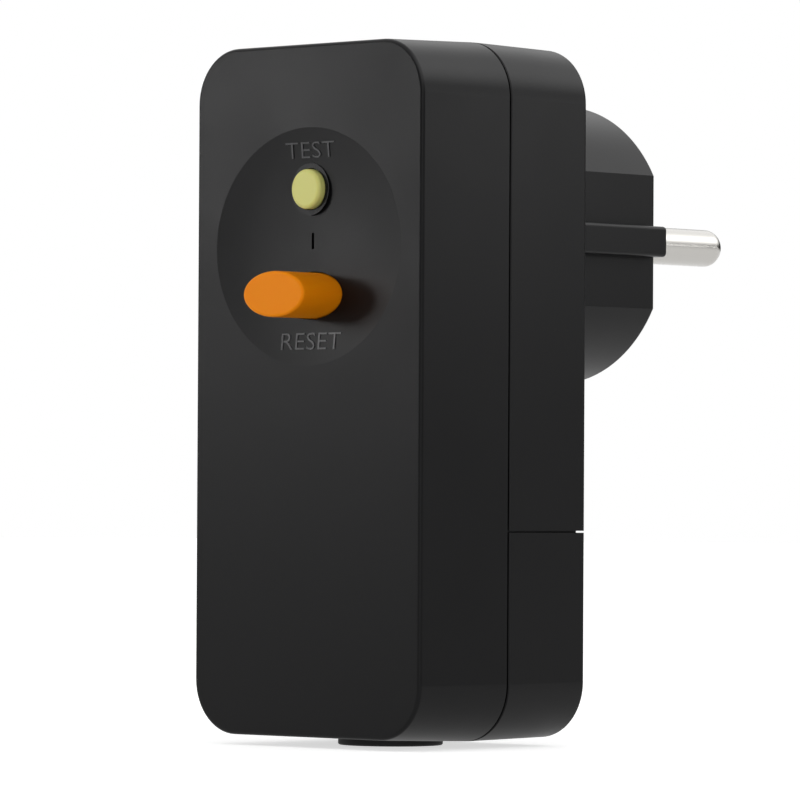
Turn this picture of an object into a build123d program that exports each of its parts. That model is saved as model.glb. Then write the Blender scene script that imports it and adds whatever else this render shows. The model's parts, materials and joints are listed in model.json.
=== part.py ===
from build123d import *
import os
from math import radians, sqrt, tan

# A plug-in residual current device: a slim upright box on a round mains plug.
# Millimetres. +X is to the right seen from the front, +Y runs into the wall, +Z is up.
# The origin is the middle of the plug's engagement face, midway between the pins.

os.makedirs("parts", exist_ok=True)

# General clearances and overruns
overrun = 1.0            # how far every cut runs past what it cuts
seat_clearance = 0.05    # a fixed piece in its seat
screw_clearance = 0.05   # a screw's shank in its hole
running_clearance = 0.06 # a pin or shaft that turns or slides
sliding_gap = 0.3        # a moulded slider beside its guide
travel_margin = 0.1      # what is left of a gap when a moving piece stops
touch_gap = 0.02         # two flat pieces that only rest on each other

# Casing
box_width = 39.8         # at the seam, the widest outline
box_height = 87.0

# Hundredths of the width, of the height and of the tighter of the two, in which what has to fit
# the box is given
across = box_width / 100
along = box_height / 100
width_to_height = 0.4575
tight = min(box_width, width_to_height * box_height) / 100

# Shell form
corner_radius = 18.342 * across
front_depth = 15.5       # front face to the seam
rear_depth = 14.5        # seam to the rear face
wall = 2.0
front_wall = 2.0
front_draft = 1.85       # degrees, the front shell narrows towards its face
rear_draft = 0.75        # degrees
front_edge_round = 0.45
rear_edge_round = 0.5
seam_gap = 0.26          # width of the groove where the halves meet
seam_depth = 0.8
seam_bevel = 0.12
barrier_thickness = 1.4  # walls between the mechanism and the wiring space

# Plug body, where it sits on the box and its earth recesses
plug_length = 17.6
plug_radius = 18.0
plug_flat = 0.8806 * plug_radius   # centre to each side flat
plug_rib_width = 3.9
plug_rib_round = 0.5
plug_edge_round = 0.5
plug_wall = 3.0
plug_rise = 22.586 * along     # plug axis above the middle of the box
cover_drop = 20 * along        # cover seam below the middle of the box
cover_gap = 0.24
cover_lap = 0.75         # outer lip of the cover, the tongue lies inside it
cover_lap_gap = 0.1
cover_tongue = 0.8       # how far the tongue reaches below the cover seam

# Pins and the earth contacts
pin_spacing = 19.0
pin_radius = 2.4
pin_neck_radius = 2.15   # where the moulding grips the pin
pin_neck = 1.2
pin_length = 19.0
pin_nose = 1.9
pin_flange_radius = 3.3
pin_flange = 1.2
pin_tail_radius = 1.2
pin_boss_radius = 4.2
earth_rise = 10.0        # earth socket above the line of the pins
earth_bore = 2.45
earth_sleeve_wall = 0.45
earth_sleeve_length = 15.0
earth_sleeve_sink = 0.4
earth_boss_wall = 0.8
earth_boss_length = 9.0
earth_tail_radius = 0.9
clip_width = 7.8
clip_thickness = 0.8
clip_length = 12.5
clip_bow = 0.75
clip_recess_depth = 1.6
clip_side_gap = 0.3
clip_leg_drop = 2.6      # from the recess floor to the strip's inner leg

# Dish with the two buttons
dish_half_width = 39.95 * across
dish_half_height = 17.011 * along
dish_depth = 0.95
dish_rise = 20.494 * along     # dish centre above the middle of the box
test_rise = 8.184 * along      # above the dish centre
test_radius = 2.874 * along
test_proud = 1.3         # above the dish
test_travel = 1.2
test_stem_radius = 1.1
test_flange_radius = 4.138 * along
test_flange = 1.0
test_round = 0.5
test_ring_radius = 3.736 * along
test_ring_proud = 0.35
reset_drop = 6.989 * along     # below the dish centre
reset_width = 26.131 * across
reset_height = 6.552 * along
reset_proud = 6.9
reset_travel = 4.0
reset_round = 0.35
reset_stem_radius = 2.0
reset_flange_lip = 1.494 * along
reset_flange = 1.2
button_gap = 0.14        # round each button in the shell
slit_width = 0.42
slit_height = 2.299 * along
slit_rise = 0.828 * along      # above the dish centre

# Circuit board and its place behind the seam
board_side_gap = 1.4     # to the casing's side walls
board_top_gap = 1.35     # to the casing's top wall
board_bottom_gap = 2.45  # above the cover seam
board_corner = 3.0
board_thickness = 1.6
board_gap = 3.4          # rear wall to the board
case_post_gap = 1.131 * across   # side wall to a case screw's post
case_post_top_gap = 1.3  # top wall to a post
case_post_rise = 0.78    # above the wall over the cover seam
screw_radius = 3.769 * tight
screw_head_radius = 6.91 * tight
screw_head = 1.8
screw_sink = 3.0         # how deep the heads sit in the rear face
screw_slot = 0.8
screw_slot_depth = 0.9
case_screw_reach = 19.0
post_radius = 8.166 * tight

# Switching mechanism
frame_plate = 1.6
frame_wall = 1.4
frame_stand = 11.4       # board to the front face of the guide plate
carrier_half_width = 28.392 * across
carrier_height = 7.816 * along
carrier_thickness = 3.0
contact_travel = 2.4
contact_inner = 11.055 * across # incoming contacts from the middle
contact_outer = 23.618 * across # outgoing contacts from the middle
stud_radius = 4.02 * across
stud_tail_radius = 0.8
contact_bar_height = 3.448 * along
contact_bar = 1.0
contact_tip_radius = 3.015 * across
contact_tip = 0.8
spring_pocket_radius = 3.448 * along
spring_pocket_depth = 1.6

# Coil springs: wire radius, mean radius and turns
reset_spring_wire = 0.25
reset_spring_radius = 3.1
reset_spring_turns = 4
test_spring_wire = 0.2
test_spring_radius = 1.9
test_spring_turns = 5
trip_spring_wire = 0.25
trip_spring_radius = 5.528 * tight
trip_spring_turns = 5
plunger_spring_wire = 0.2
plunger_spring_radius = 5.779 * tight
plunger_spring_turns = 4

# Trip solenoid and latch
solenoid_drop = 18.391 * along # below the reset button
yoke_length = 44.221 * across
yoke_half_height = 13.568 * tight
yoke_depth = 11.0
yoke_sheet = 1.2
plunger_radius = 5.025 * tight
plunger_travel = 1.5
plunger_gap = 0.3        # left of the plunger's travel at the pole piece
pole_length = 8.04 * across
bobbin_wall = 2.136 * tight
bobbin_flange = 0.8
bobbin_flange_radius = 12.814 * tight
coil_radius = 12.312 * tight
neck_radius = 2.513 * tight
neck_length = 2.2
head_radius = 5.528 * tight
head_length = 1.0
collar_radius = 6.91 * tight
collar_length = 0.8
spring_space = 8.543 * across  # plunger collar to the yoke at rest
lever_sheet = 1.0
lever_foot = 2.644 * along     # below the plunger's axis
lever_top_drop = 1.724 * along # below the reset button
latch_offset = 1.6       # pivot beyond the end of the carrier
latch_drop = 9.77 * along      # pivot below the reset button
lug_half_width = 6.03 * across
latch_pin_radius = 1.0
latch_knuckle = 0.85
hook_sheet = 0.8
hook_height = 0.8

# Residual current transformer and its primary wires
core_x = 20.101 * across
core_rise = 10.69 * along      # above the pins
core_outer = 15.578 * tight
core_inner = 9.548 * tight
core_height = 5.0
winding_wall = 0.5
winding_gap = 3.0
primary_radius = 0.7
primary_offset = 3.015 * tight
primary_gap = 0.6        # winding to the primary wires

# Electronic parts on the board
varistor_radius = 5.057 * along
varistor_thickness = 8.543 * across
varistor_x = -12.312 * across
varistor_gap = 0.25      # below the top resistor
capacitor_size = (17.588 * across, 8.0, 6.897 * along)
capacitor_x = -30.653 * across
capacitor_z = 9.655 * along
chip_size = (9.799 * across, 1.6, 5.632 * along)
chip_x = 34.925 * across
chip_z = -10.345 * along
resistor_radius = 1.05
resistor_length = 15.075 * across
resistor_gap = 1.75      # below the guide frame
resistor_edge_gap = 0.55 # below the top of the board
resistor_x_shares = (-0.109, 0.158, -0.136)
lead_radius = 0.35
lead_stand = 0.5
led_radius = 1.0
led_height = 3.4
guide_radius = 0.95
guide_plate = 3.908 * along
guide_plate_thickness = 0.8
leaf_sheet = 0.4
leaf_width = 2.759 * along
leaf_foot = 6.03 * across
leaf_reach = 2.261 * across
leaf_run = 13.819 * across
leaf_height = 5.0        # board to the leaf's front

# Wiring space: terminals, bus bars, clamp and inlet
terminal_spacing = 26.633 * across
terminal_width = 16.08 * across
terminal_height = 9.195 * along
terminal_depth = 9.0
terminal_lift = 0.6      # behind the seam
terminal_drop = 1.379 * along  # below the cover seam
terminal_bore = 4.02 * across
terminal_bore_depth = 7.126 * along
terminal_edge = 0.2
terminal_screw_reach = 3.4
terminal_screw_head = 6.281 * across
block_side = 6.533 * across    # beside the outer terminals
block_floor = 2.184 * along
block_rim = 1.5
bar_sheet = 0.8
bar_width = 9.045 * across
bar_inset = 2.01 * across      # inside the outgoing contacts
bar_lap = 2.874 * along        # above the outgoing contacts
bar_gap = 2.2            # rear wall to the live bars
earth_bar_width = 12.563 * across
earth_bar_gap = 0.8      # rear wall to the earth strap
cover_screw_inset = 15.327 * across # from the side of the box
cover_screw_rise = 8.793 * along # above the bottom of the box
cover_screw_reach = 14.0
cover_post_radius = 7.538 * tight
inlet_bore = 10.302 * across
bush_neck = 13.819 * across
bush_flange = 16.583 * across
bush_proud = 0.8
bush_edge_round = 0.25
bush_length = 4.5
clamp_rise = 10.517 * along    # above the bottom of the box
clamp_side = 3.518 * across    # cable to a clamp post
clamp_post_radius = 5.779 * across
clamp_bar_height = 6.897 * along
clamp_bar = 2.8
clamp_screw_radius = 3.141 * across
clamp_screw_head = 5.528 * across
clamp_screw_reach = 8.0
saddle_thickness = 2.4

# Depths along Y and heights along Z that the sizes above give
box_depth = front_depth + rear_depth
back_y = -plug_length
seam_y = back_y - rear_depth
front_y = back_y - box_depth
rear_inner = back_y - wall
front_inner = front_y + front_wall
board_rear = rear_inner - board_gap
board_front = board_rear - board_thickness
box_z = -plug_rise
box_bottom = box_z - box_height / 2
box_top = box_z + box_height / 2
cover_z = box_z - cover_drop
dish_z = box_z + dish_rise
dish_sphere = (dish_half_height**2 + dish_depth**2) / (2 * dish_depth)
pad_inner = front_inner + dish_depth
board_width = box_width - 2 * wall - 2 * board_side_gap
board_top = box_top - wall - board_top_gap
board_bottom = cover_z + board_bottom_gap
case_screw_x = box_width / 2 - wall - case_post_gap - post_radius
case_screw_top = box_top - wall - case_post_top_gap - post_radius
case_screw_bottom = cover_z + cover_gap / 2 + barrier_thickness + case_post_rise + post_radius
cover_screw_x = box_width / 2 - cover_screw_inset
pin_x = pin_spacing / 2
test_z = dish_z + test_rise
reset_z = dish_z - reset_drop
slit_z = dish_z + slit_rise
frame_front = board_front - frame_stand
frame_rear = frame_front + frame_plate
carrier_front = frame_rear + 0.5 * sliding_gap
carrier_rear = carrier_front + carrier_thickness
contact_face = carrier_rear + contact_bar + contact_tip
stud_face = contact_face + contact_travel + travel_margin
solenoid_y = board_front - yoke_depth / 2
solenoid_z = reset_z - solenoid_drop
latch_pivot_x = -carrier_half_width - latch_offset
latch_pivot_z = reset_z - latch_drop
lever_top = reset_z - lever_top_drop
frame_half_width = lug_half_width - latch_pivot_x
yoke_left = latch_pivot_x + neck_length / 2 + collar_length + spring_space
yoke_right = yoke_left + yoke_length
plunger_end = yoke_right - pole_length - plunger_travel - plunger_gap
terminal_top = cover_z - terminal_drop
terminal_bottom = terminal_top - terminal_height
terminal_rear = seam_y + terminal_lift
terminal_front = terminal_rear - terminal_depth
block_half_width = terminal_spacing + terminal_width / 2 + block_side
bar_x = contact_outer - bar_inset
bar_top = reset_z + bar_lap
cover_screw_z = box_bottom + cover_screw_rise
clamp_z = box_bottom + clamp_rise
clamp_x = inlet_bore + clamp_side + clamp_post_radius
clamp_post_rear = seam_y + inlet_bore
clamp_bar_half = clamp_x + clamp_screw_head
saddle_rear = seam_y - inlet_bore - sliding_gap
recess_floor = plug_radius - clip_recess_depth
screw_seat = back_y - screw_sink
screw_hole = screw_radius + screw_clearance
clip_leg_z = recess_floor - clip_leg_drop
earth_sleeve = earth_bore + earth_sleeve_wall
earth_bar_rear = rear_inner - earth_bar_gap
bar_rear = rear_inner - bar_gap
bar_leg_z = terminal_top + bar_sheet / 2
leaf_front = board_front - leaf_height
frame_top = reset_z + carrier_height / 2 + sliding_gap + frame_wall
frame_bottom = reset_z - carrier_height / 2 - sliding_gap - frame_wall
plunger_collar = yoke_left - spring_space
plunger_neck = plunger_collar - collar_length
plunger_head = plunger_neck - neck_length
lever_front = frame_rear + sliding_gap
lever_rear = 2 * solenoid_y - lever_front
knuckle_radius = latch_pin_radius + running_clearance + latch_knuckle
core_rear = board_front - winding_wall - touch_gap
core_front = core_rear - core_height
bobbin_tube = plunger_radius + sliding_gap + bobbin_wall
bobbin_left = yoke_left + yoke_sheet + touch_gap
bobbin_right = yoke_right - yoke_sheet - touch_gap
wire_entry_y = terminal_rear - terminal_screw_reach - terminal_bore - touch_gap
block_rear = terminal_rear - block_rim
led_front = board_front - led_height
resistor_row_z = frame_bottom - resistor_gap - resistor_radius
resistor_top_z = board_top - resistor_edge_gap - resistor_radius
varistor_z = resistor_top_z - resistor_radius - varistor_gap - varistor_radius
primary_rise = core_outer + winding_wall + primary_gap + primary_radius
resistor_places = [
    (share * board_width, height)
    for share, height in zip(resistor_x_shares, (resistor_row_z, resistor_row_z, resistor_top_z))
]
case_screw_places = [
    (side * case_screw_x, height) for side in (-1, 1) for height in (case_screw_top, case_screw_bottom)
]
cover_screw_places = [(side * cover_screw_x, cover_screw_z) for side in (-1, 1)]
clamp_screw_places = [(side * clamp_x, clamp_z) for side in (-1, 1)]


def wall_plane(depth):
    """The upright plane at a depth along Y. An extrusion from it runs to the front."""
    return Plane.XZ.offset(-depth)


def dish_surface(distance):
    """Where the dish's surface lies along Y, at a distance above or below its middle."""
    return front_y + sqrt(dish_sphere**2 - distance**2) - (dish_sphere - dish_depth)


def column(radius, place, front, rear, mode=Mode.ADD):
    """A round column along Y at a place (x, z), added to the part in hand."""
    with BuildSketch(wall_plane(rear)) as round_outline:
        with Locations(place):
            Circle(radius)
    extrude(round_outline.sketch, amount=rear - front, mode=mode)


def block(width, height, place, front, rear, mode=Mode.ADD):
    """A block between two depths, centred on a place (x, z)."""
    with BuildSketch(wall_plane(rear)) as square_outline:
        with Locations(place):
            Rectangle(width, height)
    extrude(square_outline.sketch, amount=rear - front, mode=mode)


def outline_block(inset, start, depth, draft, mode=Mode.ADD):
    """The casing's rounded outline, drafted from the seam by a signed depth."""
    with BuildSketch(wall_plane(start)) as case_outline:
        with Locations((0, box_z)):
            RectangleRounded(box_width - 2 * inset, box_height - 2 * inset, corner_radius - inset)
    extrude(case_outline.sketch, amount=depth, taper=draft, mode=mode)


def seam_groove(casing, depth):
    """Cuts the outer strip of a casing's rim back by a signed depth, and bevels its edge."""
    with BuildSketch(wall_plane(seam_y)) as rim_outline:
        with Locations((0, box_z)):
            RectangleRounded(box_width + 2 * overrun, box_height + 2 * overrun, corner_radius + overrun)
            RectangleRounded(
                box_width - 2 * seam_depth,
                box_height - 2 * seam_depth,
                corner_radius - seam_depth,
                mode=Mode.SUBTRACT,
            )
    extrude(rim_outline.sketch, amount=depth, mode=Mode.SUBTRACT)
    rim_y = seam_y - depth
    rim = casing.faces().filter_by_position(Axis.Y, rim_y - touch_gap, rim_y + touch_gap)[0]
    chamfer(rim.outer_wire().edges(), seam_bevel)


def plug_outline(radius, flat):
    """A circle with two side flats, as a sketch on the box's rear face."""
    with BuildSketch(wall_plane(back_y)) as outline:
        Circle(radius)
        Rectangle(2 * flat, 2 * radius, mode=Mode.INTERSECT)
    return outline.sketch


def bent_strip(points, thickness, width, middle):
    """A strip bent in the YZ plane along a centre line, centred on x = middle."""
    with BuildSketch(Plane.YZ.offset(middle)) as strip_outline:
        with BuildLine():
            Polyline(points)
        trace(line_width=thickness)
    extrude(strip_outline.sketch, amount=width / 2, both=True)


def coil_along_y(wire, radius, turns, place, front, rear):
    """A compression spring between two depths, its wire as one helix."""
    height = rear - front - 2 * wire
    start = Vector(place[0], front + wire, place[1])
    with BuildPart() as coil:
        with BuildLine():
            turn = Helix(height / turns, height, radius, center=start, direction=(0, 1, 0))
        with BuildSketch(Plane(origin=turn @ 0, z_dir=turn % 0)):
            Circle(wire)
        sweep(is_frenet=True)
    return coil


def screw(radius, head, place, head_rear, reach):
    """A slotted screw along Y, its head to the rear."""
    column(head, place, head_rear - screw_head, head_rear)
    column(radius, place, head_rear - screw_head - reach, head_rear - screw_head)
    slot_floor = head_rear - screw_slot_depth
    block(2 * head + overrun, screw_slot, place, slot_floor, head_rear + overrun, Mode.SUBTRACT)


# The flat bowl that cuts the dish, a ball stretched to the dish's width
with BuildPart() as dish_bowl:
    Sphere(dish_sphere)
    scale(by=(dish_half_width / dish_half_height, 1, 1))

# Front shell: the drafted half with the dish, its bosses and the barrier rib
with BuildPart() as front_shell:
    outline_block(0, seam_y, front_depth, front_draft)
    fillet(front_shell.faces().sort_by(Axis.Y)[0].edges(), front_edge_round)
    seam_groove(front_shell, seam_gap / 2)
    outline_block(wall, seam_y, front_depth - front_wall, front_draft, Mode.SUBTRACT)
    column(dish_half_height + wall / 2, (0, dish_z), front_inner - front_wall / 2, pad_inner)
    with Locations((0, front_y - dish_sphere + dish_depth, dish_z)):
        add(dish_bowl.part, mode=Mode.SUBTRACT)
    column(
        test_ring_radius,
        (0, test_z),
        dish_surface(test_rise) - test_ring_proud,
        pad_inner,
    )
    column(test_radius + button_gap, (0, test_z), front_y - overrun, pad_inner + overrun, Mode.SUBTRACT)
    with BuildSketch(wall_plane(pad_inner + overrun)):
        with Locations((0, reset_z)):
            Ellipse(reset_width / 2 + button_gap, reset_height / 2 + button_gap)
        with Locations((0, slit_z)):
            Rectangle(slit_width, slit_height)
    extrude(amount=front_wall + dish_depth + 2 * overrun, mode=Mode.SUBTRACT)
    for place in case_screw_places:
        column(post_radius, place, front_inner - front_wall / 2, board_front)
    for place in cover_screw_places:
        column(cover_post_radius, place, front_inner - front_wall / 2, seam_y - touch_gap)
    for place in clamp_screw_places:
        column(clamp_post_radius, place, front_inner - front_wall / 2, clamp_post_rear)
    block(
        2 * clamp_x,
        saddle_thickness,
        (0, clamp_z),
        front_inner - front_wall / 2,
        saddle_rear,
    )
    block(
        box_width - 2 * wall,
        barrier_thickness,
        (0, cover_z + barrier_thickness / 2),
        front_inner - front_wall / 2,
        seam_y - seam_depth,
    )
    for place in case_screw_places:
        column(screw_hole, place, screw_seat - case_screw_reach - overrun, seam_y, Mode.SUBTRACT)
        column(screw_hole, place, seam_y - overrun, rear_inner, Mode.SUBTRACT)
    for place in cover_screw_places:
        column(screw_hole, place, screw_seat - cover_screw_reach - overrun, seam_y, Mode.SUBTRACT)
    for place in clamp_screw_places:
        column(
            clamp_screw_radius + screw_clearance,
            place,
            clamp_post_rear - clamp_screw_reach,
            clamp_post_rear + overrun,
            Mode.SUBTRACT,
        )
    with BuildSketch(Plane.XY.offset(box_bottom - overrun)):
        with Locations((0, seam_y)):
            Circle(bush_neck + seat_clearance)
    extrude(amount=wall + 2 * overrun, mode=Mode.SUBTRACT)
front_shell.part.label = "front_shell"
export_step(front_shell.part, "parts/front_shell.step")

# Slab across the rear outline that becomes the tongue under the upper rear shell
with BuildPart() as tongue_slab:
    tongue_inset = cover_lap + cover_lap_gap
    outline_block(tongue_inset, seam_y, tongue_inset - rear_depth, rear_draft)
    split(bisect_by=Plane.XY.offset(cover_z - cover_tongue), keep=Keep.TOP)
    split(bisect_by=Plane.XY.offset(cover_z + barrier_thickness / 2), keep=Keep.BOTTOM)

# Slab that cuts the wiring cover's rebate, which laps the tongue
with BuildPart() as rebate_slab:
    outline_block(cover_lap, seam_y - overrun, cover_lap - overrun - rear_depth, rear_draft)
    split(bisect_by=Plane.XY.offset(cover_z - cover_tongue - cover_gap), keep=Keep.TOP)
    split(bisect_by=Plane.XY.offset(cover_z + overrun), keep=Keep.BOTTOM)

# Rear shell: the upper half of the back with the plug body
with BuildPart() as rear_shell:
    outline_block(0, seam_y, -rear_depth, rear_draft)
    fillet(rear_shell.faces().sort_by(Axis.Y)[-1].edges(), rear_edge_round)
    seam_groove(rear_shell, -seam_gap / 2)
    extrude(plug_outline(plug_radius, plug_flat), amount=-plug_length)
    with BuildSketch(wall_plane(back_y)) as rib_outline:
        Rectangle(2 * plug_radius, plug_rib_width)
        fillet(rib_outline.vertices(), plug_rib_round)
    extrude(amount=-plug_length)
    fillet(rear_shell.faces().sort_by(Axis.Y)[-1].outer_wire().edges(), plug_edge_round)
    outline_block(wall, seam_y, wall - rear_depth, rear_draft, Mode.SUBTRACT)
    extrude(
        plug_outline(plug_radius - plug_wall, plug_flat - plug_wall),
        amount=-(plug_length - plug_wall),
        mode=Mode.SUBTRACT,
    )
    extrude(
        plug_outline(plug_radius - plug_wall, plug_flat - plug_wall),
        amount=wall + overrun,
        mode=Mode.SUBTRACT,
    )
    for side in (-1, 1):
        column(pin_boss_radius, (side * pin_x, 0), rear_inner, -plug_wall / 2)
        pin_place = (side * pin_x, 0)
        column(pin_radius + seat_clearance, pin_place, rear_inner - overrun, overrun, Mode.SUBTRACT)
        block(
            clip_width + 2 * clip_side_gap,
            clip_recess_depth + overrun,
            (0, side * (recess_floor + (clip_recess_depth + overrun) / 2)),
            -clip_length - clip_thickness - clip_side_gap,
            overrun,
            Mode.SUBTRACT,
        )
        block(
            clip_width + 2 * clip_side_gap,
            2 * (clip_leg_drop + clip_thickness),
            (0, side * recess_floor),
            -clip_length - clip_thickness - clip_side_gap,
            -clip_length + clip_side_gap,
            Mode.SUBTRACT,
        )
    column(earth_sleeve + earth_boss_wall, (0, earth_rise), -plug_wall - earth_boss_length, -plug_wall / 2)
    column(
        earth_sleeve + seat_clearance,
        (0, earth_rise),
        -plug_wall - earth_boss_length - overrun,
        overrun,
        Mode.SUBTRACT,
    )
    for place in case_screw_places:
        column(post_radius, place, board_rear, rear_inner + wall / 2)
        column(screw_hole, place, board_rear - overrun, back_y + overrun, Mode.SUBTRACT)
        column(screw_head_radius + button_gap, place, screw_seat, back_y + overrun, Mode.SUBTRACT)
    split(bisect_by=Plane.XY.offset(cover_z + cover_gap / 2), keep=Keep.TOP)
    block(
        box_width - 2 * seam_depth,
        barrier_thickness,
        (0, cover_z + cover_gap / 2 + barrier_thickness / 2),
        seam_y,
        rear_inner + wall / 2,
    )
    add(tongue_slab.part)
    for middle, width in ((-bar_x, bar_width), (0, earth_bar_width), (bar_x, bar_width)):
        block(
            width + 2 * sliding_gap,
            cover_tongue + overrun,
            (middle, cover_z - (cover_tongue + overrun) / 2),
            seam_y - overrun,
            rear_inner,
            Mode.SUBTRACT,
        )
        block(
            width + 2 * sliding_gap,
            barrier_thickness + 2 * overrun,
            (middle, cover_z + barrier_thickness / 2),
            board_rear - sliding_gap,
            rear_inner,
            Mode.SUBTRACT,
        )
rear_shell.part.label = "rear_shell"
export_step(rear_shell.part, "parts/rear_shell.step")

# Wiring cover: the lower piece of the back, which comes off to wire the plug
with BuildPart() as wiring_cover:
    outline_block(0, seam_y, -rear_depth, rear_draft)
    fillet(wiring_cover.faces().sort_by(Axis.Y)[-1].edges(), rear_edge_round)
    seam_groove(wiring_cover, -seam_gap / 2)
    outline_block(wall, seam_y, wall - rear_depth, rear_draft, Mode.SUBTRACT)
    split(bisect_by=Plane.XY.offset(cover_z - cover_gap / 2), keep=Keep.BOTTOM)
    add(rebate_slab.part, mode=Mode.SUBTRACT)
    for place in cover_screw_places:
        column(cover_post_radius, place, seam_y + seam_gap, rear_inner + wall / 2)
        column(screw_hole, place, seam_y - overrun, back_y + overrun, Mode.SUBTRACT)
        column(screw_head_radius + button_gap, place, screw_seat, back_y + overrun, Mode.SUBTRACT)
    with BuildSketch(Plane.XY.offset(box_bottom - overrun)):
        with Locations((0, seam_y)):
            Circle(bush_neck + seat_clearance)
    extrude(amount=wall + 2 * overrun, mode=Mode.SUBTRACT)
wiring_cover.part.label = "wiring_cover"
export_step(wiring_cover.part, "parts/wiring_cover.step")

# Mains pins, with a flange behind the plug body and a tail through the board
for pin_name, side in (("neutral_pin", -1), ("line_pin", 1)):
    with BuildPart() as mains_pin:
        column(pin_radius, (side * pin_x, 0), touch_gap, pin_length)
        fillet(mains_pin.faces().sort_by(Axis.Y)[-1].edges(), pin_nose)
        column(pin_neck_radius, (side * pin_x, 0), -pin_neck - overrun, pin_length / 2)
        column(pin_radius, (side * pin_x, 0), rear_inner - pin_flange / 2, -pin_neck)
        flange_rear = rear_inner - touch_gap
        column(pin_flange_radius, (side * pin_x, 0), flange_rear - pin_flange, flange_rear)
        column(pin_tail_radius, (side * pin_x, 0), board_front - overrun, rear_inner - pin_flange / 2)
    mains_pin.part.label = pin_name
    export_step(mains_pin.part, f"parts/{pin_name}.step")

# Earth clips: two bowed strips in their recesses, each with a leg into the box
with BuildPart() as earth_clips:
    for side in (-1, 1):
        strip_z = recess_floor + touch_gap + clip_thickness / 2
        bent_strip(
            [
                (-clip_thickness, side * strip_z),
                (-clip_length / 3, side * (strip_z + clip_bow)),
                (-clip_length * 2 / 3, side * (strip_z + clip_bow)),
                (-clip_length - clip_thickness / 2, side * strip_z),
                (-clip_length - clip_thickness / 2, side * clip_leg_z),
                (earth_bar_rear + touch_gap, side * clip_leg_z),
            ],
            clip_thickness,
            clip_width,
            0,
        )
earth_clips.part.label = "earth_clips"
export_step(earth_clips.part, "parts/earth_clips.step")

# Earth socket: a sleeve for the wall socket's earth pin, with a tail to the strap
with BuildPart() as earth_socket:
    column(earth_sleeve, (0, earth_rise), -earth_sleeve_sink - earth_sleeve_length, -earth_sleeve_sink)
    column(
        earth_bore,
        (0, earth_rise),
        -earth_sleeve_sink - earth_sleeve_length + earth_sleeve_wall,
        overrun,
        Mode.SUBTRACT,
    )
    column(
        earth_tail_radius,
        (0, earth_rise),
        earth_bar_rear + touch_gap,
        -earth_sleeve_sink - earth_sleeve_length + earth_sleeve_wall / 2,
    )
earth_socket.part.label = "earth_socket"
export_step(earth_socket.part, "parts/earth_socket.step")

# Earth strap: from the clips and the socket down behind the board to its terminal
with BuildPart() as earth_strap:
    strap_y = earth_bar_rear - bar_sheet / 2
    bent_strip(
        [
            (strap_y, clip_leg_z + clip_thickness),
            (strap_y, bar_leg_z),
            (wire_entry_y, bar_leg_z),
        ],
        bar_sheet,
        earth_bar_width,
        0,
    )
earth_strap.part.label = "earth_strap"
export_step(earth_strap.part, "parts/earth_strap.step")

# Live bus bars: from the outgoing contacts' tails to the line and neutral terminals
for bar_name, side in (("neutral_bar", -1), ("line_bar", 1)):
    with BuildPart() as bus_bar:
        bar_y = bar_rear - bar_sheet / 2
        bent_strip(
            [(bar_y, bar_top), (bar_y, bar_leg_z), (wire_entry_y, bar_leg_z)],
            bar_sheet,
            bar_width,
            side * bar_x,
        )
    bus_bar.part.label = bar_name
    export_step(bus_bar.part, f"parts/{bar_name}.step")

# Circuit board on the rear shell's posts
with BuildPart() as circuit_board:
    with BuildSketch(wall_plane(board_rear)):
        with Locations((0, (board_top + board_bottom) / 2)):
            RectangleRounded(board_width, board_top - board_bottom, board_corner)
        with Locations(case_screw_places):
            Circle(screw_radius + sliding_gap, mode=Mode.SUBTRACT)
        with Locations([(side * pin_x, 0) for side in (-1, 1)]):
            Circle(pin_tail_radius + seat_clearance, mode=Mode.SUBTRACT)
        with Locations([(side * x, reset_z) for side in (-1, 1) for x in (contact_inner, contact_outer)]):
            Circle(stud_tail_radius + seat_clearance, mode=Mode.SUBTRACT)
        with Locations((latch_pivot_x, latch_pivot_z)):
            Circle(latch_pin_radius + seat_clearance, mode=Mode.SUBTRACT)
    extrude(amount=board_thickness)
circuit_board.part.label = "circuit_board"
export_step(circuit_board.part, "parts/circuit_board.step")

# Guide frame of the mechanism: a plate for both buttons, two guide walls and the latch lug
with BuildPart() as mechanism_frame:
    frame_height = frame_top - frame_bottom
    block(2 * frame_half_width, frame_height, (0, (frame_top + frame_bottom) / 2), frame_front, frame_rear)
    arm_top = test_z + test_flange_radius
    arm_height = arm_top - frame_top + frame_wall
    arm_width = 2 * (test_flange_radius + frame_wall)
    block(arm_width, arm_height, (0, arm_top - arm_height / 2), frame_front, frame_rear)
    lug_bottom = latch_pivot_z - 2 * frame_wall
    lug_height = frame_bottom - lug_bottom + frame_wall
    block(
        2 * (frame_half_width + latch_pivot_x),
        lug_height,
        (latch_pivot_x, lug_bottom + lug_height / 2),
        frame_front,
        frame_rear,
    )
    for level in (frame_top - frame_wall / 2, frame_bottom + frame_wall / 2):
        guide_width = 2 * (carrier_half_width + sliding_gap)
        block(guide_width, frame_wall, (0, level), frame_rear, board_front - touch_gap)
    for radius, place in (
        (reset_stem_radius + sliding_gap, (0, reset_z)),
        (test_stem_radius + sliding_gap, (0, test_z)),
        (guide_radius + seat_clearance, (0, slit_z)),
    ):
        column(radius, place, frame_front - overrun, frame_rear + overrun, Mode.SUBTRACT)
    column(
        latch_pin_radius + seat_clearance,
        (latch_pivot_x, latch_pivot_z),
        frame_front - overrun,
        frame_rear + overrun,
        Mode.SUBTRACT,
    )
mechanism_frame.part.label = "mechanism_frame"
export_step(mechanism_frame.part, "parts/mechanism_frame.step")

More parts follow.
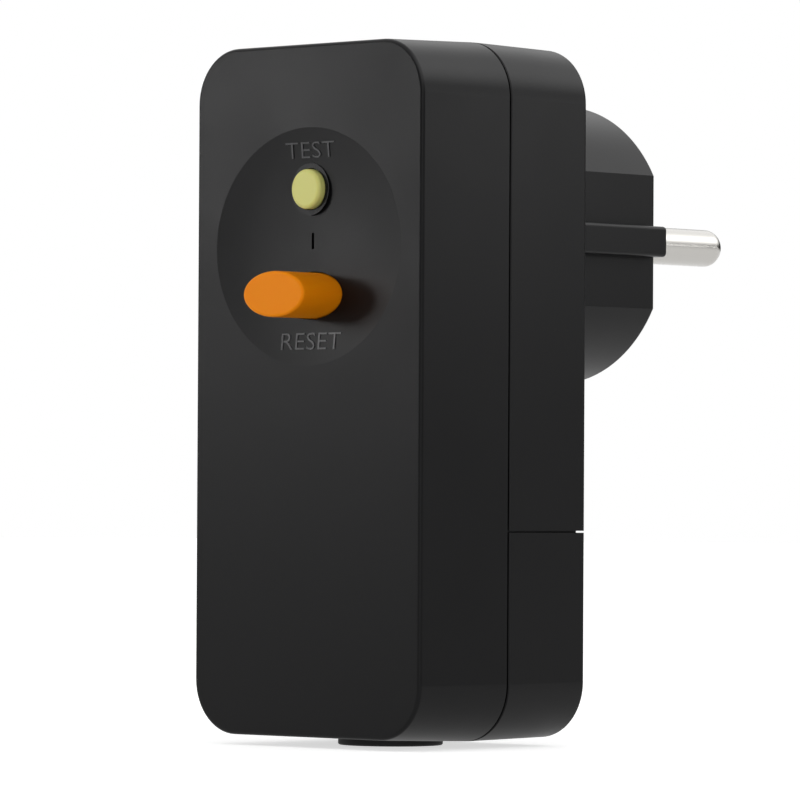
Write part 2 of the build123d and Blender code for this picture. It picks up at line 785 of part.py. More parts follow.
# Contact carrier: the moulded slider that the reset button pushes
with BuildPart() as contact_carrier:
    block(2 * carrier_half_width, carrier_height, (0, reset_z), carrier_front, carrier_rear)
    fillet(contact_carrier.edges().filter_by(Axis.Y), sliding_gap)
    pocket_floor = carrier_rear - spring_pocket_depth
    column(spring_pocket_radius, (0, reset_z), pocket_floor, carrier_rear + overrun, Mode.SUBTRACT)
contact_carrier.part.label = "contact_carrier"
export_step(contact_carrier.part, "parts/contact_carrier.step")

# Bridging bars on the carrier, one a pole, with a silver tip at each end
with BuildPart() as moving_contacts:
    bridge_length = contact_outer - contact_inner + 2 * contact_tip_radius + sliding_gap
    for side in (-1, 1):
        block(
            bridge_length,
            contact_bar_height,
            (side * (contact_inner + contact_outer) / 2, reset_z),
            carrier_rear + touch_gap,
            carrier_rear + contact_bar,
        )
        for x in (contact_inner, contact_outer):
            column(contact_tip_radius, (side * x, reset_z), carrier_rear + contact_bar / 2, contact_face)
moving_contacts.part.label = "moving_contacts"
export_step(moving_contacts.part, "parts/moving_contacts.step")

# Fixed contact studs on the board, two a pole, with tails to the bus bars
with BuildPart() as fixed_contacts:
    for side in (-1, 1):
        for x in (contact_inner, contact_outer):
            column(stud_radius, (side * x, reset_z), stud_face, board_front - touch_gap)
            column(stud_tail_radius, (side * x, reset_z), stud_face, bar_rear - bar_sheet - touch_gap)
fixed_contacts.part.label = "fixed_contacts"
export_step(fixed_contacts.part, "parts/fixed_contacts.step")

# Trip spring between the board and the carrier
trip_spring = coil_along_y(
    trip_spring_wire,
    trip_spring_radius,
    trip_spring_turns,
    (0, reset_z),
    carrier_rear - spring_pocket_depth + touch_gap,
    board_front - touch_gap,
)
trip_spring.part.label = "trip_spring"
export_step(trip_spring.part, "parts/trip_spring.step")

# Reset button: a long cap of elliptical section, its retaining flange and its stem
flange_rear = pad_inner + touch_gap + reset_flange
with BuildPart() as reset_button:
    reset_face = dish_surface(reset_drop) - reset_proud
    with BuildSketch(wall_plane(flange_rear - reset_flange / 2)):
        with Locations((0, reset_z)):
            Ellipse(reset_width / 2, reset_height / 2)
    extrude(amount=flange_rear - reset_flange / 2 - reset_face)
    fillet(reset_button.faces().sort_by(Axis.Y)[0].edges(), reset_round)
    with BuildSketch(wall_plane(flange_rear)):
        with Locations((0, reset_z)):
            Ellipse(reset_width / 2 + reset_flange_lip, reset_height / 2 + reset_flange_lip)
    extrude(amount=reset_flange)
    lost_motion = reset_travel - contact_travel + travel_margin
    column(reset_stem_radius, (0, reset_z), flange_rear - reset_flange / 2, carrier_front - lost_motion)
reset_button.part.label = "reset_button"
export_step(reset_button.part, "parts/reset_button.step")

# Return spring of the reset button, round its stem
reset_spring = coil_along_y(
    reset_spring_wire,
    reset_spring_radius,
    reset_spring_turns,
    (0, reset_z),
    flange_rear + touch_gap,
    frame_front - touch_gap,
)
reset_spring.part.label = "reset_spring"
export_step(reset_spring.part, "parts/reset_spring.step")

# Test button: a round domed cap, its flange and a thin stem to the leaf
test_flange_rear = pad_inner + touch_gap + test_flange
with BuildPart() as test_button:
    column(test_radius, (0, test_z), dish_surface(test_rise) - test_proud, test_flange_rear - test_flange / 2)
    fillet(test_button.faces().sort_by(Axis.Y)[0].edges(), test_round)
    column(test_flange_radius, (0, test_z), test_flange_rear - test_flange, test_flange_rear)
    stem_end = leaf_front - test_travel - travel_margin
    column(test_stem_radius, (0, test_z), test_flange_rear - test_flange / 2, stem_end)
test_button.part.label = "test_button"
export_step(test_button.part, "parts/test_button.step")

# Return spring of the test button
test_spring = coil_along_y(
    test_spring_wire,
    test_spring_radius,
    test_spring_turns,
    (0, test_z),
    test_flange_rear + touch_gap,
    frame_front - touch_gap,
)
test_spring.part.label = "test_spring"
export_step(test_spring.part, "parts/test_spring.step")

# Test leaf: the contact strip that the test button's stem presses
with BuildPart() as test_leaf:
    with BuildSketch(Plane.XY.offset(test_z)) as leaf_outline:
        with BuildLine():
            foot_y = board_front - touch_gap - leaf_sheet / 2
            free_y = leaf_front + leaf_sheet / 2
            Polyline(
                (-leaf_run - leaf_foot, foot_y),
                (-leaf_run, foot_y),
                (-leaf_run, free_y),
                (leaf_reach, free_y),
            )
        trace(line_width=leaf_sheet)
    extrude(amount=leaf_width / 2, both=True)
test_leaf.part.label = "test_leaf"
export_step(test_leaf.part, "parts/test_leaf.step")


def barrel(radius, left, right, mode=Mode.ADD):
    """A round bar along X on the solenoid's axis, added to the part in hand."""
    with BuildSketch(Plane.YZ.offset(left)) as round_outline:
        with Locations((solenoid_y, solenoid_z)):
            Circle(radius)
    extrude(round_outline.sketch, amount=right - left, mode=mode)


# Solenoid yoke: a bent steel frame on the board
with BuildPart() as solenoid_yoke:
    yoke_middle = (yoke_left + yoke_right) / 2
    yoke_front = board_front - yoke_depth
    yoke_rear = board_front - touch_gap
    block(
        yoke_right - yoke_left,
        2 * yoke_half_height + yoke_sheet,
        (yoke_middle, solenoid_z - yoke_sheet / 2),
        yoke_front,
        yoke_rear,
    )
    block(
        yoke_right - yoke_left - 2 * yoke_sheet,
        2 * yoke_half_height + overrun,
        (yoke_middle, solenoid_z + overrun / 2),
        yoke_front - overrun,
        yoke_rear + overrun,
        Mode.SUBTRACT,
    )
    barrel(plunger_radius + sliding_gap, yoke_left - overrun, yoke_middle, Mode.SUBTRACT)
    barrel(plunger_radius + seat_clearance, yoke_middle, yoke_right + overrun, Mode.SUBTRACT)
solenoid_yoke.part.label = "solenoid_yoke"
export_step(solenoid_yoke.part, "parts/solenoid_yoke.step")

# Bobbin between the yoke's ends
with BuildPart() as solenoid_bobbin:
    barrel(bobbin_tube, bobbin_left, bobbin_right)
    barrel(bobbin_flange_radius, bobbin_left, bobbin_left + bobbin_flange)
    barrel(bobbin_flange_radius, bobbin_right - bobbin_flange, bobbin_right)
    barrel(plunger_radius + sliding_gap, bobbin_left - overrun, bobbin_right + overrun, Mode.SUBTRACT)
solenoid_bobbin.part.label = "solenoid_bobbin"
export_step(solenoid_bobbin.part, "parts/solenoid_bobbin.step")

# Wound coil on the bobbin
with BuildPart() as solenoid_coil:
    coil_left = bobbin_left + bobbin_flange + touch_gap
    coil_right = bobbin_right - bobbin_flange - touch_gap
    barrel(coil_radius, coil_left, coil_right)
    barrel(bobbin_tube + touch_gap, coil_left - overrun, coil_right + overrun, Mode.SUBTRACT)
solenoid_coil.part.label = "solenoid_coil"
export_step(solenoid_coil.part, "parts/solenoid_coil.step")

# Fixed pole piece in the yoke's right end
with BuildPart() as pole_piece:
    barrel(plunger_radius, yoke_right - pole_length, yoke_right)
pole_piece.part.label = "pole_piece"
export_step(pole_piece.part, "parts/pole_piece.step")

# Plunger with the collar that seats its spring and the neck that the latch grips
with BuildPart() as plunger:
    barrel(plunger_radius, plunger_neck, plunger_end)
    barrel(collar_radius, plunger_neck, plunger_collar)
    barrel(neck_radius, plunger_head, plunger_neck + overrun)
    barrel(head_radius, plunger_head - head_length, plunger_head)
plunger.part.label = "plunger"
export_step(plunger.part, "parts/plunger.step")

# Plunger spring between the collar and the yoke
with BuildPart() as plunger_spring:
    with BuildLine():
        spring_height = spring_space - 2 * plunger_spring_wire - 2 * touch_gap
        spring_turn = Helix(
            spring_height / plunger_spring_turns,
            spring_height,
            plunger_spring_radius,
            center=(plunger_collar + plunger_spring_wire + touch_gap, solenoid_y, solenoid_z),
            direction=(1, 0, 0),
        )
    with BuildSketch(Plane(origin=spring_turn @ 0, z_dir=spring_turn % 0)):
        Circle(plunger_spring_wire)
    sweep(is_frenet=True)
plunger_spring.part.label = "plunger_spring"
export_step(plunger_spring.part, "parts/plunger_spring.step")

# Latch lever: a bent sheet with a rolled knuckle, a fork and a hook
with BuildPart() as latch_lever:
    lever_bottom = solenoid_z - lever_foot
    block(
        lever_sheet,
        lever_top - lever_bottom,
        (latch_pivot_x, (lever_top + lever_bottom) / 2),
        lever_front,
        lever_rear,
    )
    column(knuckle_radius, (latch_pivot_x, latch_pivot_z), lever_front, board_front - sliding_gap)
    column(
        latch_pin_radius + running_clearance,
        (latch_pivot_x, latch_pivot_z),
        lever_front - overrun,
        board_front + overrun,
        Mode.SUBTRACT,
    )
    fork_top = solenoid_z + neck_radius + sliding_gap
    block(
        lever_sheet + 2 * overrun,
        fork_top - lever_bottom + overrun,
        (latch_pivot_x, (fork_top + lever_bottom - overrun) / 2),
        solenoid_y - neck_radius - sliding_gap,
        solenoid_y + neck_radius + sliding_gap,
        Mode.SUBTRACT,
    )
    hook_right = -carrier_half_width - sliding_gap
    hook_rear = carrier_front + contact_travel - travel_margin
    block(
        hook_right - latch_pivot_x,
        hook_height,
        ((hook_right + latch_pivot_x) / 2, lever_top - hook_height / 2),
        hook_rear - hook_sheet,
        hook_rear,
    )
latch_lever.part.label = "latch_lever"
export_step(latch_lever.part, "parts/latch_lever.step")

# Latch pin from the guide plate to the board
with BuildPart() as latch_pin:
    column(latch_pin_radius, (latch_pivot_x, latch_pivot_z), frame_front, board_rear)
latch_pin.part.label = "latch_pin"
export_step(latch_pin.part, "parts/latch_pin.step")

# Residual current transformer: the ring core and its winding
with BuildPart() as transformer_core:
    column(core_outer, (core_x, core_rise), core_front, core_rear)
    column(core_inner, (core_x, core_rise), core_front - overrun, core_rear + overrun, Mode.SUBTRACT)
transformer_core.part.label = "transformer_core"
export_step(transformer_core.part, "parts/transformer_core.step")

with BuildPart() as transformer_winding:
    place = (core_x, core_rise)
    column(core_outer + winding_wall, place, core_front - winding_wall, core_rear + winding_wall)
    fillet(transformer_winding.edges(), winding_wall)
    column(core_inner - winding_wall, place, core_front - 2 * overrun, core_rear + 2 * overrun, Mode.SUBTRACT)
    with BuildSketch(wall_plane(core_rear + touch_gap)):
        with Locations(place):
            Circle(core_outer + touch_gap)
            Circle(core_inner - touch_gap, mode=Mode.SUBTRACT)
    extrude(amount=core_height + 2 * touch_gap, mode=Mode.SUBTRACT)
    block(
        winding_gap,
        core_outer + 2 * overrun,
        (core_x, core_rise - (core_outer + 2 * overrun) / 2),
        core_front - 2 * overrun,
        core_rear + 2 * overrun,
        Mode.SUBTRACT,
    )
transformer_winding.part.label = "transformer_winding"
export_step(transformer_winding.part, "parts/transformer_winding.step")

# Primary wires: line and neutral, each looped once through the ring
with BuildPart() as primary_wires:
    for side in (-1, 1):
        wire_x = core_x + side * primary_offset
        bend_y = core_front - winding_wall - primary_radius
        with BuildLine(Plane.YZ.offset(wire_x)) as wire_path:
            lower = Line((board_front - touch_gap, core_rise), (bend_y, core_rise))
            bend = ThreePointArc(
                lower @ 1,
                (bend_y - primary_rise / 2, core_rise + primary_rise / 2),
                (bend_y, core_rise + primary_rise),
            )
            Line(bend @ 1, (board_front - touch_gap, core_rise + primary_rise))
        with BuildSketch(wall_plane(board_front - touch_gap)):
            with Locations((wire_x, core_rise)):
                Circle(primary_radius)
        sweep(path=wire_path.line)
primary_wires.part.label = "primary_wires"
export_step(primary_wires.part, "parts/primary_wires.step")

# Varistor: a coated disc on two leads
with BuildPart() as varistor:
    varistor_y = board_front - lead_stand - varistor_radius
    with BuildSketch(Plane.YZ.offset(varistor_x)):
        with Locations((varistor_y, varistor_z)):
            Circle(varistor_radius)
    extrude(amount=varistor_thickness / 2, both=True)
    fillet(varistor.edges(), varistor_thickness / 4)
    for side in (-1, 1):
        lead_z = varistor_z + side * varistor_radius / 2
        column(lead_radius, (varistor_x, lead_z), varistor_y, board_front - touch_gap)
varistor.part.label = "varistor"
export_step(varistor.part, "parts/varistor.step")

# Film capacitor: a moulded block on two leads
with BuildPart() as capacitor:
    capacitor_rear = board_front - lead_stand
    block(
        capacitor_size[0],
        capacitor_size[2],
        (capacitor_x, capacitor_z),
        capacitor_rear - capacitor_size[1],
        capacitor_rear,
    )
    fillet(capacitor.edges().filter_by(Axis.Y), lead_stand)
    for side in (-1, 1):
        lead_x = capacitor_x + side * capacitor_size[0] / 3
        column(lead_radius, (lead_x, capacitor_z), capacitor_rear - lead_stand, board_front - touch_gap)
capacitor.part.label = "capacitor"
export_step(capacitor.part, "parts/capacitor.step")

# Residual current detector chip
with BuildPart() as control_chip:
    block(
        chip_size[0],
        chip_size[2],
        (chip_x, chip_z),
        board_front - touch_gap - chip_size[1],
        board_front - touch_gap,
    )
    chamfer(control_chip.faces().sort_by(Axis.Y)[0].edges(), lead_radius)
control_chip.part.label = "control_chip"
export_step(control_chip.part, "parts/control_chip.step")

# Resistors lying on the board
with BuildPart() as resistors:
    for resistor_x, resistor_z in resistor_places:
        resistor_y = board_front - lead_stand - resistor_radius
        with BuildSketch(Plane.YZ.offset(resistor_x)):
            with Locations((resistor_y, resistor_z)):
                Circle(resistor_radius)
        extrude(amount=resistor_length / 2, both=True)
        for side in (-1, 1):
            lead_x = resistor_x + side * resistor_length / 3
            column(lead_radius, (lead_x, resistor_z), resistor_y, board_front - touch_gap)
resistors.part.label = "resistors"
export_step(resistors.part, "parts/resistors.step")

# Indicator lamp on the board, and the light guide to the slit in the dish
with BuildPart() as indicator_led:
    column(led_radius, (0, slit_z), led_front, board_front - touch_gap)
    fillet(indicator_led.faces().sort_by(Axis.Y)[0].edges(), led_radius * 0.8)
indicator_led.part.label = "indicator_led"
export_step(indicator_led.part, "parts/indicator_led.step")

with BuildPart() as light_guide:
    plate_rear = pad_inner + touch_gap + guide_plate_thickness
    block(guide_plate, guide_plate, (0, slit_z), pad_inner + touch_gap, plate_rear)
    column(guide_radius, (0, slit_z), plate_rear, led_front - sliding_gap)
light_guide.part.label = "light_guide"
export_step(light_guide.part, "parts/light_guide.step")

# Terminal block: a moulded bed with three cells open to the rear
with BuildPart() as terminal_block:
    block_height = terminal_height + block_floor
    block(
        2 * block_half_width,
        block_height,
        (0, terminal_top - block_height / 2),
        front_inner + touch_gap,
        block_rear,
    )
    for side in (-1, 0, 1):
        block(
            terminal_width + 2 * seat_clearance,
            terminal_height + seat_clearance + overrun,
            (side * terminal_spacing, terminal_top - (terminal_height + seat_clearance - overrun) / 2),
            terminal_front - seat_clearance,
            block_rear + overrun,
            Mode.SUBTRACT,
        )
        with BuildSketch(Plane.XY.offset(terminal_bottom - block_floor - overrun)):
            with Locations((side * terminal_spacing, wire_entry_y)):
                Circle(terminal_bore + seat_clearance)
        extrude(amount=block_floor + 2 * overrun, mode=Mode.SUBTRACT)
terminal_block.part.label = "terminal_block"
export_step(terminal_block.part, "parts/terminal_block.step")

# Pillar terminals, each with a wire bore from below and a screw from the rear
for terminal_name, side in (("neutral_terminal", -1), ("earth_terminal", 0), ("line_terminal", 1)):
    with BuildPart() as terminal:
        terminal_place = (side * terminal_spacing, (terminal_top + terminal_bottom) / 2)
        block(terminal_width, terminal_height, terminal_place, terminal_front, terminal_rear)
        fillet(terminal.edges().filter_by(Axis.Y), terminal_edge)
        thread_hole = clamp_screw_radius + screw_clearance
        column(thread_hole, terminal_place, wire_entry_y, terminal_rear + overrun, Mode.SUBTRACT)
        with BuildSketch(Plane.XY.offset(terminal_bottom - overrun)):
            with Locations((side * terminal_spacing, wire_entry_y)):
                Circle(terminal_bore)
        extrude(amount=terminal_bore_depth + overrun, mode=Mode.SUBTRACT)
    terminal.part.label = terminal_name
    export_step(terminal.part, f"parts/{terminal_name}.step")

# Screws in their places
with BuildPart() as terminal_screws:
    for side in (-1, 0, 1):
        screw(
            clamp_screw_radius,
            terminal_screw_head,
            (side * terminal_spacing, (terminal_top + terminal_bottom) / 2),
            terminal_rear + touch_gap + screw_head,
            terminal_screw_reach,
        )
terminal_screws.part.label = "terminal_screws"
export_step(terminal_screws.part, "parts/terminal_screws.step")

with BuildPart() as case_screws:
    for place in case_screw_places:
        screw(screw_radius, screw_head_radius, place, screw_seat + touch_gap + screw_head, case_screw_reach)
case_screws.part.label = "case_screws"
export_step(case_screws.part, "parts/case_screws.step")

with BuildPart() as cover_screws:
    for place in cover_screw_places:
        screw(screw_radius, screw_head_radius, place, screw_seat + touch_gap + screw_head, cover_screw_reach)
cover_screws.part.label = "cover_screws"
export_step(cover_screws.part, "parts/cover_screws.step")

# Cord clamp: a bar across the two posts, with its screws
with BuildPart() as cord_clamp:
    clamp_front = clamp_post_rear + touch_gap
    block(2 * clamp_bar_half, clamp_bar_height, (0, clamp_z), clamp_front, clamp_front + clamp_bar)
    fillet(cord_clamp.edges().filter_by(Axis.Y), saddle_thickness / 2)
    for place in clamp_screw_places:
        bar_rear = clamp_front + clamp_bar
        screw_hole = clamp_screw_radius + screw_clearance
        column(screw_hole, place, clamp_front - overrun, bar_rear + overrun, Mode.SUBTRACT)
cord_clamp.part.label = "cord_clamp"
export_step(cord_clamp.part, "parts/cord_clamp.step")

with BuildPart() as clamp_screws:
    clamp_head_rear = clamp_front + clamp_bar + touch_gap + screw_head
    for place in clamp_screw_places:
        screw(clamp_screw_radius, clamp_screw_head, place, clamp_head_rear, clamp_screw_reach)
clamp_screws.part.label = "clamp_screws"
export_step(clamp_screws.part, "parts/clamp_screws.step")

# Cable bush in the inlet, half in each shell
with BuildPart() as cable_bush:
    bush_bottom = box_bottom - bush_proud
    neck_top = box_bottom + wall + touch_gap + bush_flange * tan(radians(front_draft))
    with BuildSketch(wall_plane(seam_y)):
        with BuildLine():
            Polyline(
                (inlet_bore, bush_bottom),
                (bush_flange, bush_bottom),
                (bush_flange, box_bottom - touch_gap),
                (bush_neck, box_bottom - touch_gap),
                (bush_neck, neck_top),
                (bush_flange, neck_top),
                (bush_flange, bush_bottom + bush_length),
                (inlet_bore, bush_bottom + bush_length),
                close=True,
            )
        make_face()
    revolve(axis=Axis((0, seam_y, 0), (0, 0, 1)))
    fillet(cable_bush.faces().sort_by(Axis.Z)[0].outer_wire().edges(), bush_edge_round)
cable_bush.part.label = "cable_bush"
export_step(cable_bush.part, "parts/cable_bush.step")
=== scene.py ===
# %% [markdown]
# A plug-in residual current device: a slim upright black box with a round mains
# plug at its back, and with a test button, a reset button and a small lamp slit
# in a shallow dish at its front. The solid pieces come from the imported CAD
# model. This script gives each of them its finish, adds the two moulded words,
# which only the eye needs, puts spring steel copies in place of the springs, and
# sets the light and the camera.

import json
import math

import bmesh
import bpy
from mathutils import Matrix, Vector


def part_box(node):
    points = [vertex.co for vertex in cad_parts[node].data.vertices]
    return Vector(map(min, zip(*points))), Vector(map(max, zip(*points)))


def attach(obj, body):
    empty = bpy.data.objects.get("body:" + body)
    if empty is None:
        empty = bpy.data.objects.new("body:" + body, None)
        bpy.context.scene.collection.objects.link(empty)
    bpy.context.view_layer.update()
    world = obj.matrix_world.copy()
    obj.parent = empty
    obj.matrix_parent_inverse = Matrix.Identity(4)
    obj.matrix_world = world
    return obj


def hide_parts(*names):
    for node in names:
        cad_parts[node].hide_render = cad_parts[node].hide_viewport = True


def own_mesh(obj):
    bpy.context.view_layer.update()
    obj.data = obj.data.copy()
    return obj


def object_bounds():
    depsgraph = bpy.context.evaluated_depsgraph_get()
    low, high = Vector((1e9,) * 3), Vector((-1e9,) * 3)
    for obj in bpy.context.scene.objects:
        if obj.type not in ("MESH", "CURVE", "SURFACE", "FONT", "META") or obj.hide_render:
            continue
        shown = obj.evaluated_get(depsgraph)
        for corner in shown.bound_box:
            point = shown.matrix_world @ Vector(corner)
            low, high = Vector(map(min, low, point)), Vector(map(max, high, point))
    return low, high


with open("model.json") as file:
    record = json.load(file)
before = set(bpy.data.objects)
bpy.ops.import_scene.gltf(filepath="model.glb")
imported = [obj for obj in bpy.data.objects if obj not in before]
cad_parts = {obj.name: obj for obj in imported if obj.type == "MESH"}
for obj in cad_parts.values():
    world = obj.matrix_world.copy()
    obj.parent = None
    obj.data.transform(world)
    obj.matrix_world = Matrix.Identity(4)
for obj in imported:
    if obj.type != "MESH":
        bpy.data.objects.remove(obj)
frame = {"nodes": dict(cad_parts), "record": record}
cad_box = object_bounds()
nodes = frame["nodes"]
scene = bpy.context.scene
MM = 0.001
print("CAD nodes:", len(nodes))

# %% [markdown]
# The camera comes first, because every other choice is compared with the
# photograph through it. A long lens from far away keeps the box's edges nearly
# parallel, so a telephoto camera was fitted to the outline: where it stands,
# how it is turned, and its lens. It could be aimed with a Track To constraint,
# but a fitted camera also has a little roll, so its three axes are written out.
# The three angles are in radians.

# %% Camera fitted to the photograph
CAMERA_TURN = 0.75377
CAMERA_PITCH = 0.01797
CAMERA_ROLL = 0.00552
CAMERA_FOCUS_PX = 5782.0
CAMERA_DISTANCE = 729.1 * MM
CAMERA_SHIFT_RIGHT = 0.0706 * MM
CAMERA_SHIFT_UP = 0.9318 * MM
AIM_POINT = Vector((0, -30.6, -19.65)) * MM
PHOTO_PX = 800
SENSOR_MM = 36

flat_right = Vector((math.cos(CAMERA_TURN), math.sin(CAMERA_TURN), 0))
flat_ahead = Vector((-math.sin(CAMERA_TURN), math.cos(CAMERA_TURN), 0))
world_up = Vector((0, 0, 1))
ahead = flat_ahead * math.cos(CAMERA_PITCH) + world_up * math.sin(CAMERA_PITCH)
tilted_up = world_up * math.cos(CAMERA_PITCH) - flat_ahead * math.sin(CAMERA_PITCH)
right = flat_right * math.cos(CAMERA_ROLL) + tilted_up * math.sin(CAMERA_ROLL)
up = tilted_up * math.cos(CAMERA_ROLL) - flat_right * math.sin(CAMERA_ROLL)

camera_data = bpy.data.cameras.new("studio_camera")
camera_data.sensor_width = SENSOR_MM
camera_data.lens = CAMERA_FOCUS_PX / PHOTO_PX * SENSOR_MM
camera = bpy.data.objects.new("studio_camera", camera_data)
camera.matrix_world = Matrix((right, up, -ahead)).transposed().to_4x4()
camera.location = (
    AIM_POINT - ahead * CAMERA_DISTANCE - right * CAMERA_SHIFT_RIGHT - up * CAMERA_SHIFT_UP
)
scene.collection.objects.link(camera)
scene.camera = camera
print("Lens:", round(camera_data.lens, 1), "mm")

# %% [markdown]
# Colours are written as the sRGB hex values that a paint program shows, and
# Blender's shaders work on linear light, so one function turns one into the
# other. The other small function adds a shader node, sets it and links it.
# Every material below is made with these two. The rest are the steps that many
# of the materials share: a place on the piece, a size in millimetres as a
# texture scale, a relief, and a change from shiny to dull. The wave texture
# needs a scale of its own, because its wave turns by 20 radians per unit.

# %% Colour and node helpers
WAVE_BANDS_PER_UNIT = 20 / math.tau


def linear(hex_colour):
    """An sRGB hex colour as the linear RGBA that the shaders use."""
    channels = []
    for start in (0, 2, 4):
        value = int(hex_colour[start:start + 2], 16) / 255
        channels.append(value / 12.92 if value <= 0.04045 else ((value + 0.055) / 1.055) ** 2.4)
    return (*channels, 1.0)


def add_node(tree, kind, values=None, links=None, **settings):
    """Adds one node to a tree, with its settings, socket values and links."""
    node = tree.nodes.new(kind)
    for name, setting in settings.items():
        setattr(node, name, setting)
    for socket, value in (values or {}).items():
        node.inputs[socket].default_value = value
    for socket, source in (links or {}).items():
        tree.links.new(source, node.inputs[socket])
    return node


def start_material(name, surface_values):
    """A new material with one Principled surface, given back with its tree."""
    material = bpy.data.materials.new(name)
    material.use_nodes = True
    tree = material.node_tree
    tree.nodes.clear()
    surface = add_node(tree, "ShaderNodeBsdfPrincipled", values=surface_values)
    add_node(tree, "ShaderNodeOutputMaterial", links={"Surface": surface.outputs["BSDF"]})
    return material, tree, surface


def surface_of(material):
    """The Principled surface of a finished material."""
    return next(node for node in material.node_tree.nodes if node.type == "BSDF_PRINCIPLED")


def object_place(tree):
    """The place on the piece, in metres, that a texture is laid out by."""
    return add_node(tree, "ShaderNodeTexCoord").outputs["Object"]


def per_metre(size_mm):
    """The texture scale at which one feature is that many millimetres wide."""
    return 1 / (size_mm * MM)


def band_scale(pitch_mm):
    """The scale at which a wave texture's bands lie that far apart."""
    return per_metre(pitch_mm) / WAVE_BANDS_PER_UNIT


def add_relief(tree, surface, height, depth_mm):
    """Raises the surface by a texture's value, by that depth at most."""
    relief = add_node(
        tree,
        "ShaderNodeBump",
        values={"Strength": 1.0, "Distance": depth_mm * MM},
        links={"Height": height},
    )
    tree.links.new(relief.outputs["Normal"], surface.inputs["Normal"])


def vary_gloss(tree, surface, pattern, shiniest, dullest):
    """Spreads the surface's roughness between two values by a texture's value."""
    spread = add_node(
        tree,
        "ShaderNodeMapRange",
        values={"To Min": shiniest, "To Max": dullest},
        links={"Value": pattern},
    )
    tree.links.new(spread.outputs["Result"], surface.inputs["Roughness"])


# %% [markdown]
# Black plastic shows mostly what it mirrors, so the room matters more than the
# lamps. It is a dark studio with a bright panel over the object: the upright
# faces mirror the dark walls and stay black, and every edge that turns upward
# mirrors the panel and draws a pale line. A plain white room would be simpler,
# but it turns the whole casing grey. To the camera the room is white.
# Mirror rays and rays through clear parts see the panel, which is brighter to
# the right, and the rays that light matt surfaces get a weak even light. The
# panel's edges are given as parts of a ray's direction: Z for how far up it
# points, and X for how far to the right.

# %% Backdrop and overhead panel
EVEN_LIGHT = 0.6
PANEL_STARTS_AT_HEIGHT = 0.12
PANEL_FULL_AT_HEIGHT = 0.55
PANEL_LEFT_SIDE = 0.0
PANEL_RIGHT_SIDE = 0.5
PANEL_LEFT_LIGHT = 1.55
PANEL_RIGHT_LIGHT = 3.6

scene.view_settings.view_transform = "Standard"
world = bpy.data.worlds.new("studio")
world.use_nodes = True
scene.world = world
room = world.node_tree
room.nodes.clear()
ray = add_node(room, "ShaderNodeLightPath")
direction = add_node(room, "ShaderNodeTexCoord")
direction_parts = add_node(
    room, "ShaderNodeSeparateXYZ", links={"Vector": direction.outputs["Generated"]}
)
panel_shape = add_node(
    room,
    "ShaderNodeMapRange",
    values={"From Min": PANEL_STARTS_AT_HEIGHT, "From Max": PANEL_FULL_AT_HEIGHT},
    links={"Value": direction_parts.outputs["Z"]},
    interpolation_type="SMOOTHSTEP",
)
panel_light = add_node(
    room,
    "ShaderNodeMapRange",
    values={
        "From Min": PANEL_LEFT_SIDE,
        "From Max": PANEL_RIGHT_SIDE,
        "To Min": PANEL_LEFT_LIGHT,
        "To Max": PANEL_RIGHT_LIGHT,
    },
    links={"Value": direction_parts.outputs["X"]},
    interpolation_type="SMOOTHSTEP",
)
panel = add_node(
    room,
    "ShaderNodeMath",
    operation="MULTIPLY",
    links={0: panel_shape.outputs["Result"], 1: panel_light.outputs["Result"]},
)
sees_panel = add_node(
    room,
    "ShaderNodeMath",
    operation="MAXIMUM",
    links={0: ray.outputs["Is Glossy Ray"], 1: ray.outputs["Is Transmission Ray"]},
)
lighting = add_node(
    room,
    "ShaderNodeMix",
    values={"A": EVEN_LIGHT},
    links={"Factor": sees_panel.outputs["Value"], "B": panel.outputs["Value"]},
)
strength = add_node(
    room,
    "ShaderNodeMath",
    operation="MAXIMUM",
    links={0: lighting.outputs["Result"], 1: ray.outputs["Is Camera Ray"]},
)
backdrop_light = add_node(
    room,
    "ShaderNodeBackground",
    values={"Color": (1, 1, 1, 1)},
    links={"Strength": strength.outputs["Value"]},
)
add_node(room, "ShaderNodeOutputWorld", links={"Surface": backdrop_light.outputs["Background"]})

# %% [markdown]
# Round lamps stand round the box. Most are aimed at its upper part, so that
# the soft edge of the beam runs down the face and the box gets darker towards
# its foot, the way a photographer feathers a soft box. The large one on the far
# left fills the dish. The small key lamp lights the buttons' faces from the
# upper left, and shiny surfaces don't show it. What they show is a lamp of its
# own, in the place to which a flat front sends the camera's view: it makes the
# front paler at the top, and where the reset button hides it, a shadow falls to
# the right. One lamp for both was tried, and its glint sat on the dish's left,
# where the photograph is dark. The lamp behind on the right is what the side
# wall mirrors, and a big weak one behind the camera keeps the rounded edges
# from mirroring a black room. Rectangular soft boxes were an option, but their
# edge can't be feathered.

# %% Lamps
def soft_lamp(name, place_mm, target_mm, radius_mm, beam_degrees, watts, matt=True, mirrored=True):
    """A round soft lamp whose beam fades from its middle to its edge.

    matt is whether it lights matt surfaces, mirrored whether shiny ones show it.
    """
    lamp = bpy.data.lights.new(name, "SPOT")
    lamp.shadow_soft_size = radius_mm * MM
    lamp.spot_size = math.radians(beam_degrees)
    lamp.spot_blend = 1.0
    lamp.energy = watts
    holder = bpy.data.objects.new(name, lamp)
    holder.location = Vector(place_mm) * MM
    facing = Vector(target_mm) * MM - holder.location
    holder.rotation_euler = facing.to_track_quat("-Z", "Y").to_euler()
    holder.visible_diffuse = matt
    holder.visible_glossy = mirrored
    scene.collection.objects.link(holder)


